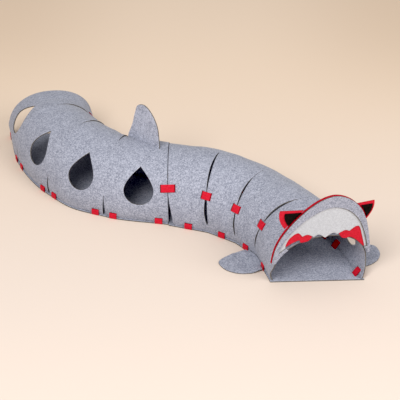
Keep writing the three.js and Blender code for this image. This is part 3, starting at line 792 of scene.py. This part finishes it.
def strip(node, path, frame_axes, closed, drape):
    """A red strap along a path in its own plane, as wide as all straps are."""
    origin, x_axis, y_axis, z_axis = frame_axes
    rows = np.linspace(-STRAP_WIDTH / 2, STRAP_WIDTH / 2, STRAP_ROWS)
    sag = drape * rows ** 2 / (2 * ARCH_RADIUS)
    points = np.concatenate([
        origin + path[:, :1] * x_axis + (path[:, 1:] - low) * y_axis + row * z_axis
        for row, low in zip(rows, sag)
    ])
    count = len(path)
    runs = count if closed else count - 1
    faces = [
        (k * count + i, k * count + (i + 1) % count, (k + 1) * count + (i + 1) % count, (k + 1) * count + i)
        for k in range(len(rows) - 1) for i in range(runs)
    ]
    piece = thicken(f"felt_{node}", points, faces, STRAP, 0, "red")
    ends = np.concatenate([path, path[:1]]) if closed else path
    length = np.linalg.norm(np.diff(ends, axis=0), axis=1).sum()
    declare(piece, node, STRAP_WIDTH * length)


def bridge_strap(node, start, end, clear, rests_on):
    """A strap over a gap: its ends pass through slots and lie inside the wall."""
    x_axis = unit(end[0] - start[0])
    z_axis = unit(np.cross(x_axis, start[3] + end[3]))
    y_axis = np.cross(z_axis, x_axis)
    span = np.linalg.norm(end[0] - start[0])
    half = STRAP / 2
    low = -WALL - clear - half
    top = clear + half
    middle = np.linspace(*STRAP_CREST, STRAP_ROWS)[:, None]
    crest = np.concatenate([middle * span, top + STRAP_CAMBER * np.sin(np.pi * middle)], axis=1)
    path = np.concatenate([
        [(-half - STRAP_FLAP, low), (0, low), (0, top)], crest,
        [(span, top), (span, low), (span + half + STRAP_FLAP, low)],
    ])
    path = rounded(path, STRAP_BEND, closed=False)
    strip(node, path, (start[0], x_axis, y_axis, z_axis), False, 1.0)
    long = z_axis * (STRAP_WIDTH / 2 + CLEAR)
    short = x_axis * (half + CLEAR + SLOT_EXTRA / 2)
    aside = x_axis * SLOT_EXTRA / 2
    return [(start[0] - aside, long, short), (end[0] + aside, long, short)]


def foot_loop(node, module, along, foot):
    """A strap looped through the wall's foot and round the floor's edge."""
    inward = 1 if foot == 0 else -1
    rounds = foot + inward * np.linspace(0, FOOT_SEARCH, FOOT_SEARCH_STEPS)
    heights = module.smooth_points(np.full(len(rounds), float(along)), rounds)[:, 2]
    slot_round = rounds[np.argmax(heights >= FOOT_SLOT_HEIGHT)]
    point, forward, _, _ = module.frame_at(along, foot)
    lengthways = unit(forward * (1, 1, 0))
    outward = np.cross(UP, lengthways) * inward
    origin = point * (1, 1, 0)
    slot_point = module.points(along, slot_round)[0]
    bulge = (slot_point - origin) @ outward
    half = STRAP / 2
    top = FOOT_SLOT_HEIGHT
    low = UNDERSIDE + half
    in_low = WALL + LOOP_CLEAR + FOOT_SLOT_IN
    path = np.array([
        (bulge - WALL - LOOP_CLEAR - CLEAR - half, top), (-in_low - half, low),
        (FLOOR_MARGIN + CLEAR + half, low), (bulge + LOOP_CLEAR + half, top),
    ])
    z_axis = np.cross(outward, UP)
    path = split(rounded(path, STRAP_BEND, closed=True), TRIM_STEP)
    strip(node, path, (origin, outward, UP, z_axis), True, 0.0)
    long = lengthways * (STRAP_WIDTH / 2 + CLEAR)
    slot_half = UP * (half + CLEAR + SLOT_EXTRA / 2)
    wall_slot = slot_loop(module, along, slot_round, slot_point + UP * SLOT_EXTRA / 2, long, slot_half)
    slot_out = origin - outward * (in_low - STRAP - CLEAR)
    slot_in = origin - outward * (in_low + STRAP + CLEAR)
    edge = origin + outward * (FLOOR_MARGIN + FLOOR)
    floor_slot = np.array([slot_out + long, slot_out - long, slot_in - long, slot_in + long])[:, :2]
    pocket = np.array([edge + long, edge - long, slot_in - long, slot_in + long])[:, :2]
    reach = origin + outward * (bulge + LOOP_CLEAR + STRAP + 2 * CLEAR)
    inner = origin - outward * FLOOR_MARGIN
    fin_notch = np.array([reach + long, reach - long, inner - long, inner + long])[:, :2]
    return {"wall": wall_slot, "floor": floor_slot, "pocket": pocket, "fin": fin_notch, "foot": foot}


# Walls and floors

def wall_piece(module, cutters):
    alongs = np.linspace(0, PANELS, ALONG_STEPS)
    rounds = np.linspace(0, 1, ROUND_STEPS)
    outline = np.concatenate([
        [(along, 0) for along in alongs[:-1]],
        [(PANELS, round_) for round_ in rounds[:-1]],
        [(along, 1) for along in alongs[:0:-1]],
        [(0, round_) for round_ in rounds[:0:-1]],
    ])
    slits = [slit_loop(module, along) for along in SLITS]
    loops = [loop * PATTERN for loop in (*cutters, *slits)]
    points, faces = cut_flat(outline * PATTERN, loops, WALL_STEP)
    along, rounds = (points / PATTERN).T
    bent = module.points(along, rounds)
    node = f"wall_{module.name}"
    piece = thicken(f"felt_{node}", bent, faces[:, ::-1], WALL, -1, "grey")
    arch = module.points(np.full(ARC_STEPS, PANELS / 2), np.linspace(0, 1, ARC_STEPS))
    side = module.points(np.linspace(0, PANELS, ARC_STEPS), np.full(ARC_STEPS, SIDE_ROUND))
    declare(piece, node, area_of(bent, faces))


def floor_piece(module, loops):
    edges = []
    for foot, outward_turn in ((0, 1), (1, -1)):
        along = np.linspace(0, PANELS, EDGE_STEPS)
        rounds = np.full(EDGE_STEPS, float(foot))
        line = module.smooth_points(along, rounds)
        forward = module.directions(along, rounds)[0][:, :2]
        forward /= np.linalg.norm(forward, axis=1, keepdims=True)
        outward = np.stack([-forward[:, 1], forward[:, 0]], axis=1) * outward_turn
        edge = line[:, :2] + outward * FLOOR_MARGIN
        edge[-1] += forward[-1] * FLOOR_LIP
        edges.append(edge)
    outline = np.concatenate([edges[0], edges[1][::-1]])[::-1]
    points, faces = cut_flat(outline, [loop["floor"] for loop in loops], WALL_STEP)
    bent = np.concatenate([points, np.full((len(points), 1), FLOOR)], axis=1)
    node = f"floor_{module.name}"
    piece = thicken(f"felt_{node}", bent, faces, FLOOR, -1, "grey")
    for vertex in piece.data.vertices:
        place = np.array([vertex.co[:2]]) / MM
        if vertex.co.z < POCKET * MM and any(inside(place, loop["pocket"])[0] for loop in loops):
            vertex.co.z = POCKET * MM
    declare(piece, node, area_of(points, faces))


def build_module(module, extra_cutters):
    node = f"wall_{module.name}"
    cutters = [hole_loop(module, panel + part, round_) for panel, (part, round_) in enumerate(module.holes)]
    cutters += [notch_loop(module, along) for along in SLITS]
    cutters += [corner_loop(module), *extra_cutters]
    inner_round = 1 - STRAP_ROUND
    for along in SLITS:
        before = along - SLIT_STRAP_SPAN / 2 / module.panel_length(along - 1, inner_round)
        after = along + SLIT_STRAP_SPAN / 2 / module.panel_length(along, inner_round)
        ends = [module.frame_at(place, inner_round) for place in (before, after)]
        slots = bridge_strap(f"slit_strap_{module.name}_{along}", *ends, SLIT_STRAP_CLEAR, [node])
        for place, slot in zip((before, after), slots):
            cutters.append(slot_loop(module, place, inner_round, *slot))
    places = []
    for panel in range(PANELS):
        inset = FOOT_STRAP_INSET / module.panel_length(panel, 0)
        places += [(panel + inset, 0), (panel + 1 - inset, 0), (panel + 0.5, 1)]
    loops = [
        foot_loop(f"floor_strap_{module.name}_{k + 1}", module, along, foot)
        for k, (along, foot) in enumerate(places)
    ]
    cutters += [loop["wall"] for loop in loops]
    wall_piece(module, cutters)
    floor_piece(module, loops)
    return loops


# The straps over the seam need slots in both walls
seam_slots = {"rear": [], "front": []}
for side, rear_round, front_round in (
    ("near", STRAP_ROUND - SEAM_STRAP_LEVEL, 1 - STRAP_ROUND - SEAM_STRAP_LEVEL),
    ("far", 1 - STRAP_ROUND, STRAP_ROUND),
):
    ends = []
    places = []
    for module, round_ in ((REAR, rear_round), (FRONT, front_round)):
        along = SEAM_STRAP_SPAN / 2 / module.panel_length(0, round_)
        places.append((module, along, round_))
        ends.append(module.frame_at(along, round_))
    slots = bridge_strap(f"seam_strap_{side}", *ends, SEAM_STRAP_CLEAR, ["wall_rear", "wall_front"])
    for (module, along, round_), slot in zip(places, slots):
        seam_slots[module.name].append(slot_loop(module, along, round_, *slot))


# Dorsal fin, standing in a slot along the top of the rear wall

def dorsal_fin():
    outline = np.concatenate([
        spline([(0, DORSAL_ROOT["front"]), *DORSAL_EDGE], CURVE_STEPS),
        [(DORSAL_ROOT["length"], DORSAL_ROOT["rear"] + WALL), (DORSAL_ROOT["length"], DORSAL_ROOT["rear"])],
    ])
    origin = np.array([*DORSAL_FRONT, 0]) + SEAM_PLACE
    along_axis = heading(DORSAL_HEADING)
    across = np.cross(along_axis, UP)

    def place(points):
        bow = DORSAL_BOW * smooth(points[:, 1:], *DORSAL_BOW_RUN) ** 2
        return origin + points[:, :1] * along_axis + points[:, 1:] * UP + bow * across

    # The fin's felt is painted paler than the walls' as painted light
    flat_piece("dorsal_fin", outline, [], place, FIN, 0, "grey_pale")
    run = np.linspace(-CLEAR, DORSAL_ROOT["length"] + CLEAR, DORSAL_SLOT_STEPS)[:, None]
    line = origin + run * along_axis + DORSAL_OVER * UP
    aside = (FIN / 2 + CLEAR) * across
    return np.concatenate([line - aside, line[::-1] + aside])


def drop_onto(module, targets, along, round_):
    """The places on the wall right under points above it."""
    targets = targets.copy()
    for _ in range(DROP_ROUNDS):
        found = module.unbend(targets, along, round_)
        targets[:, 2] = module.smooth_points(*found.T)[:, 2]
    return found


dorsal_slot = drop_onto(REAR, dorsal_fin(), *DORSAL_PLACE)
build_module(REAR, [*seam_slots["rear"], dorsal_slot])
front_loops = build_module(FRONT, seam_slots["front"])


# Pectoral fins, their roots over the floor's margin and the rest flat on the ground

def pectoral_fin(node, foot):
    last = FRONT.panel_length(PANELS - 1, foot)
    start = PANELS - PECTORAL_SETBACK / last
    along = np.linspace(start, start - PECTORAL_ROOT / last, PECTORAL_ROOT_STEPS)
    root = FRONT.smooth_points(along, np.full(len(along), float(foot))) * (1, 1, 0)
    origin = root[0]
    mirror = 1 if foot == 1 else -1
    lengthways = unit(root[-1] - origin) * mirror
    outward = np.cross(UP, lengthways)
    offset = root - origin
    inner = np.stack([offset @ lengthways, offset @ outward + PECTORAL_CLEAR], axis=1)
    edge = [(mirror * a, out) for a, out in PECTORAL_EDGE]
    outer = spline([inner[0] + (0, PECTORAL_STEP), *edge], CURVE_STEPS)
    outline = np.concatenate([outer, [inner[-1] + (0, PECTORAL_STEP)], inner[::-1]])
    notches = []
    for loop in front_loops:
        if loop["foot"] == foot:
            corners = np.concatenate([loop["fin"], np.zeros((4, 1))], axis=1) - origin
            notches.append(np.stack([corners @ lengthways, corners @ outward], axis=1))

    def place(points):
        sunk = smooth(points[:, 1:], 2 * PECTORAL_STEP, PECTORAL_DOWN)
        height = PECTORAL_THICK + PECTORAL_LIFT * (1 - sunk)
        return origin + points[:, :1] * lengthways + points[:, 1:] * outward + height * UP

    flat_piece(node, outline, notches, place, PECTORAL_THICK, -1, "grey")


pectoral_fin("pectoral_fin_right", 0)
pectoral_fin("pectoral_fin_left", 1)


# Face: flat layers on the plane of the mouth's rim

mouth = dict(zip(COLUMNS, FRONT_SECTIONS[-1]))
mouth_middle = np.array([mouth["x"], mouth["y"], WALL_FOOT]) + SEAM_PLACE
face_across = heading(mouth["top"] + 90)
face_lean = UP + heading(mouth["top"]) * mouth["lean"] / LEAN_HEIGHT
rim_stretch = np.linalg.norm(face_lean)
face_out = unit(np.cross(face_across, face_lean))
face_up = np.cross(face_out, face_across)


def face_points(points):
    """The face leans a little to the outer side towards its top."""
    points = np.asarray(points, float)
    across = points[:, 0] + FACE_LEAN * smooth(points[:, 1], FACE_LEAN_FROM, FACE_LEAN_TO)
    return np.stack([across, points[:, 1]], axis=1)


def face_arc(size, grow, aside, start, end):
    angle = np.linspace(start, end, FACE_STEPS)
    across = (size[0] + grow) * signed_power(np.cos(angle), 2 / FACE_SQUARE) + aside
    up = FACE_CENTRE + (size[1] + grow) * signed_power(np.sin(angle), 2 / FACE_SQUARE)
    return face_points(np.stack([across, up], axis=1))


def rim_arc(inset, start, end):
    """The mouth's rim on the face's plane, moved inwards by the inset."""
    rounds = np.linspace(start, end, FACE_STEPS)
    edge = FRONT.arches(rounds)[-1] - mouth_middle
    flat = np.stack([edge @ face_across, edge[:, 2] * rim_stretch], axis=1)
    along = np.gradient(flat, axis=0)
    along /= np.linalg.norm(along, axis=1, keepdims=True)
    inwards = np.stack([along[:, 1], -along[:, 0]], axis=1) * (1 if end < start else -1)
    return flat + inwards * inset


def rim_round(up):
    rounds = np.linspace(0, 0.5, RIM_SEARCH_STEPS)
    heights = (FRONT.arches(rounds)[-1][:, 2] - WALL_FOOT) * rim_stretch
    return rounds[np.argmax(heights >= up)]


def crescent(grow, aside):
    leg = rim_round(FACE_CENTRE)
    return np.concatenate([face_arc(FACE_OUTER, grow, aside, 0, np.pi), rim_arc(RIM_COVER, 1 - leg, leg)])


def eye(corners, side, aside):
    inner, top, pull, low = np.array(corners) * (side, 1) + (aside, 0)
    t = np.linspace(0, 1, LID_STEPS)[:, None]
    lid = (1 - t) ** 2 * top + 2 * t * (1 - t) * pull + t ** 2 * low
    return np.concatenate([[inner], lid])


def window_arc(grow, aside=0):
    """The edge of the face plate's window, over the white panel."""
    return face_arc(WHITE_OUTER, grow, WINDOW_ASIDE + aside, *WINDOW_ENDS)


def tooth_line(side):
    """Half of the white panel's lower edge, from its middle outwards."""
    half = []
    for k, (tip, low, peak, high) in enumerate(TEETH):
        ends = [TEETH[k + 1][:2]] if k + 1 < len(TEETH) else WHITE_LEG[side]
        half.append(spline([(tip, low), (peak, high), *ends], CURVE_STEPS)[1:])
    return face_points(np.concatenate(half) * (side, 1) + (TEETH_ASIDE, 0))


def teeth_panel():
    middle = face_points([(TEETH_ASIDE + TEETH[0][0], TEETH[0][1])])
    return np.concatenate([tooth_line(-1)[::-1], middle, tooth_line(1), window_arc(WHITE_TUCK)])


def gum(side):
    """A large lobe and a small one, tucked under the white panel."""
    return face_points(spline(GUM[side], GUM_STEPS) * (side, 1) + (TEETH_ASIDE, 0))


def on_face(depth):
    """Places flat points on the face, at a depth in front of the rim."""
    def place(points):
        return mouth_middle + points[:, :1] * face_across + points[:, 1:] * face_up + depth * face_out
    return place


def face_layer(node, outline, cutters, thickness, layer, colour):
    flat_piece(node, outline, cutters, on_face(LAYER[layer] + thickness), thickness, -1, colour)


face_layer("teeth_panel", teeth_panel(), [], TRIM, "white", "white")
for side_name, side in (("left", -1), ("right", 1)):
    patch = eye(PATCH, side, PATCH_ASIDE)
    face_layer(f"eye_{side_name}", patch, [crescent(PATCH_GAP, 0)], TRIM, "patch", "black")
    face_layer(f"gum_{side_name}", gum(side), [], TRIM, "gum", "red")


def face_plate():
    """The grey ring round the white panel, with a band of painted shadow along the right side of its
    window.
    """
    painted_shadow = window_arc(0, PAINTED_SHADOW_WIDTH)
    window = np.concatenate([window_arc(0), WINDOW_FOOT])
    points, faces = cut_flat(crescent(0, 0), [window], TRIM_STEP, [painted_shadow])
    middles = points[faces].mean(axis=1)
    # Only the right side gets the band: painted shadow where the white panel's edge would shade the plate
    dark = inside(middles, painted_shadow) & (middles[:, 0] > 0)
    place = on_face(LAYER["plate"] + PLATE)
    piece = thicken("felt_face_plate", place(points), faces, PLATE, -1, "grey", dark)
    return stand_in(piece, "face_plate")


def face_backing():
    """A band behind the face plate and both eyes, cut in one, that carries the plate."""
    loops = [crescent(BACKING_EDGE, BACKING_ASIDE), eye(EYE, -1, EYE_ASIDE), eye(EYE, 1, EYE_ASIDE)]
    window = window_arc(-BACKING_BAND)
    low = np.min([loop.min(axis=0) for loop in loops], axis=0) - TRIM_STEP
    high = np.max([loop.max(axis=0) for loop in loops], axis=0) + TRIM_STEP
    sheet = np.array([low, (high[0], low[1]), high, (low[0], high[1])])
    points, faces = cut_flat(sheet, [window], TRIM_STEP, loops)
    middles = points[faces].mean(axis=1)
    faces = faces[np.any([inside(middles, split(loop, TRIM_STEP)) for loop in loops], axis=0)]
    used, faces = np.unique(faces, return_inverse=True)
    points, faces = points[used], faces.reshape(-1, 3)
    place = on_face(LAYER["backing"] + TRIM)
    piece = thicken("felt_face_backing", place(points), faces, TRIM, -1, "red")
    area = area_of(points, faces)
    declare(piece, "face_backing", area, with_pieces=[face_plate()])


face_backing()


# Floor, light and camera

def pale_floor():
    bpy.ops.object.select_all(action="DESELECT")
    bpy.ops.mesh.primitive_plane_add(size=GROUND_SIZE, location=(0, 0, 0))
    ground = bpy.context.object
    ground.name = "ground"
    finish = Finish("ground_cream")
    place = finish.node("ShaderNodeTexCoord", output="Object")
    x, y = (finish.node("ShaderNodeSeparateXYZ", {}, {"Vector": place}, output=k) for k in range(2))
    # Painted light and shade: the colour runs from near to far and darkens in the far corners
    aside = abs(x - LOOK_AT.x)
    colour = finish.mix(finish.stretch(y, *GROUND_RUN), GROUND_NEAR, GROUND_FAR)
    corner = finish.stretch(y, *CORNER_BACK) * finish.stretch(aside, *CORNER_ASIDE)
    colour = finish.mix(corner, colour, GROUND_CORNER_SHADE)
    ground.data.materials.append(finish.surface(
        Base_Color=colour,
        Roughness=GROUND_ROUGHNESS,
        Specular_IOR_Level=GROUND_SPECULAR,
    ))


def soft_light(name, place, target, size, power):
    bpy.ops.object.light_add(type="AREA", location=place)
    lamp = bpy.context.object
    lamp.name = name
    lamp.data.shape = "DISK"
    lamp.data.size = size
    lamp.data.energy = power
    lamp.data.color = LIGHT_TONE
    lamp.rotation_euler = (Vector(target) - Vector(place)).to_track_quat("-Z", "Y").to_euler()


pale_floor()
for lamp_settings in LAMPS:
    soft_light(*lamp_settings)

world = bpy.data.worlds.new("studio")
world.use_nodes = True
world.node_tree.nodes["Background"].inputs["Color"].default_value = (*LIGHT_TONE, 1)
world.node_tree.nodes["Background"].inputs["Strength"].default_value = SKY_STRENGTH
bpy.context.scene.world = world

bpy.ops.object.camera_add()
camera = bpy.context.object
camera.data.lens = CAMERA_LENS
camera.data.sensor_width = CAMERA_SENSOR
camera.data.clip_end = CAMERA_REACH
camera.location = LOOK_AT + CAMERA_DISTANCE * Vector((
    0, -math.cos(CAMERA_ELEVATION), math.sin(CAMERA_ELEVATION),
))
camera.rotation_euler = (math.pi / 2 - CAMERA_ELEVATION, 0, 0)
bpy.context.scene.camera = camera
view = bpy.context.scene.view_settings
view.view_transform = "Standard"
view.use_curve_mapping = True
view.curve_mapping.black_level = (BLACK_POINT, BLACK_POINT, BLACK_POINT)
view.curve_mapping.update()
